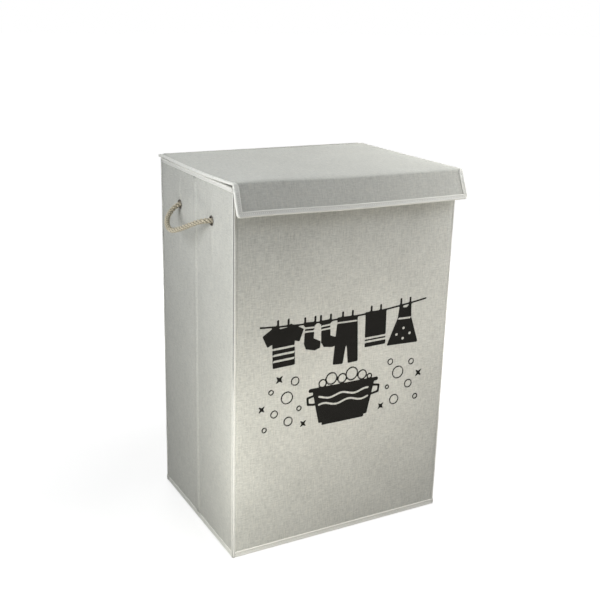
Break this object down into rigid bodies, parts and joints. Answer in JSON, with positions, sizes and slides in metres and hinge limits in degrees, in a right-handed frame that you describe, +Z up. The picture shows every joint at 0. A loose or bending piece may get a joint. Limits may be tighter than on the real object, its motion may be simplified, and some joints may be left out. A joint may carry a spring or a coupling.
{
  "type": "laundry hamper with lid",
  "caption": "Upright rectangular folding laundry hamper of fabric-covered card, with bound edges, a hinged lid with a front flap, and rope handles through eyelets.",
  "frame": {"origin": "centre of the underside, on the floor", "axes": "+X across the front to the right as seen from the front, +Y to the back, +Z up; the front flap faces -Y"},
  "size_m": [0.4782, 0.3192, 0.6057],
  "materials": {
    "body_fabric": "plain woven greige linen-look cloth",
    "lining_fabric": "pale smooth lining cloth",
    "binding_tape": "off-white folded and stitched tape",
    "card": "plain grey-brown card",
    "eyelet_metal": "dark plated pressed eyelet",
    "rope": "twisted natural fibre rope"
  },
  "bodies": {
    "back_wall": {"back_board": "card", "back_cover": "body_fabric", "back_lining": "lining_fabric", "back_rim_binding": "binding_tape", "back_bottom_binding": "binding_tape", "rear_left_corner_seam": "binding_tape", "rear_right_corner_seam": "binding_tape", "lid_hinge_strip": "body_fabric"},
    "left_rear_half": {"left_rear_board": "card", "left_rear_cover": "body_fabric", "left_rear_lining": "lining_fabric", "left_rear_rim_binding": "binding_tape", "left_rear_bottom_binding": "binding_tape", "left_rear_eyelet": "eyelet_metal", "left_rear_knot": "rope"},
    "left_front_half": {"left_front_board": "card", "left_front_cover": "body_fabric", "left_front_lining": "lining_fabric", "left_front_rim_binding": "binding_tape", "left_front_bottom_binding": "binding_tape", "left_front_eyelet": "eyelet_metal", "left_front_knot": "rope"},
    "front_wall": {"front_board": "card", "front_cover": "body_fabric", "front_lining": "lining_fabric", "front_rim_binding": "binding_tape", "front_bottom_binding": "binding_tape", "front_left_corner_seam": "binding_tape", "front_right_corner_seam": "binding_tape"},
    "right_rear_half": {"right_rear_board": "card", "right_rear_cover": "body_fabric", "right_rear_lining": "lining_fabric", "right_rear_rim_binding": "binding_tape", "right_rear_bottom_binding": "binding_tape", "right_rear_eyelet": "eyelet_metal", "right_rear_knot": "rope"},
    "right_front_half": {"right_front_board": "card", "right_front_cover": "body_fabric", "right_front_lining": "lining_fabric", "right_front_rim_binding": "binding_tape", "right_front_bottom_binding": "binding_tape", "right_front_eyelet": "eyelet_metal", "right_front_knot": "rope"},
    "base_panel": {"base_board": "card", "base_cover": "body_fabric", "base_lining": "lining_fabric"},
    "lid": {"lid_board": "card", "lid_cover": "body_fabric", "lid_lining": "lining_fabric", "lid_binding": "binding_tape", "flap_fold": "body_fabric"},
    "flap": {"flap_board": "card", "flap_cover": "body_fabric", "flap_lining": "lining_fabric", "flap_binding": "binding_tape"},
    "left_handle": {"left_rope": "rope"},
    "right_handle": {"right_rope": "rope"}
  },
  "joints": [
    {"name": "side_fold", "type": "hinge", "parent": "back_wall", "child": "left_rear_half", "pos_m": [-0.192, 0.1355, 0.3], "axis": [0, 0, 1], "range_deg": [0, 82]},
    {"name": "left_crease", "type": "hinge", "parent": "left_rear_half", "child": "left_front_half", "pos_m": [-0.197, -0.00204, 0.3], "axis": [0, 0, -1], "range_deg": [0, 164]},
    {"name": "left_front_corner", "type": "hinge", "parent": "left_front_half", "child": "front_wall", "pos_m": [-0.192, -0.13959, 0.3], "axis": [0, 0, 1], "range_deg": [0, 82]},
    {"name": "right_rear_corner", "type": "hinge", "parent": "back_wall", "child": "right_rear_half", "pos_m": [0.192, 0.1355, 0.3], "axis": [0, 0, -1], "range_deg": [0, 82]},
    {"name": "right_crease", "type": "hinge", "parent": "right_rear_half", "child": "right_front_half", "pos_m": [0.197, -0.00204, 0.3], "axis": [0, 0, 1], "range_deg": [0, 164]},
    {"name": "base_lift", "type": "hinge", "parent": "back_wall", "child": "base_panel", "pos_m": [0, 0.1405, 0.004], "axis": [-1, 0, 0], "range_deg": [0, 90], "deforming": ["base_board", "base_cover", "base_lining"]},
    {"name": "lid_hinge", "type": "hinge", "parent": "back_wall", "child": "lid", "pos_m": [0, 0.1485, 0.605], "axis": [-1, 0, 0], "range_deg": [0, 268], "deforming": ["lid_hinge_strip"]},
    {"name": "flap_hinge", "type": "hinge", "parent": "lid", "child": "flap", "pos_m": [0, -0.149, 0.601], "axis": [-1, 0, 0], "range_deg": [-21, 69], "deforming": ["flap_fold"]},
    {"name": "left_handle_swing", "type": "hinge", "parent": "left_rear_half", "child": "left_handle", "pos_m": [-0.1973, -0.00204, 0.537], "axis": [0, 1, 0], "range_deg": [-44, 88], "deforming": ["left_rope"]},
    {"name": "right_handle_swing", "type": "hinge", "parent": "right_rear_half", "child": "right_handle", "pos_m": [0.1973, -0.00204, 0.537], "axis": [0, -1, 0], "range_deg": [-44, 88], "deforming": ["right_rope"]}
  ],
  "couplings": [
    {"joint": "left_crease", "follows": "side_fold", "ratio": 2},
    {"joint": "left_front_corner", "follows": "side_fold", "ratio": 1},
    {"joint": "right_rear_corner", "follows": "side_fold", "ratio": 1},
    {"joint": "right_crease", "follows": "side_fold", "ratio": 2},
    {"joint": "base_lift", "follows": "side_fold", "ratio": 1.0975}
  ]
}
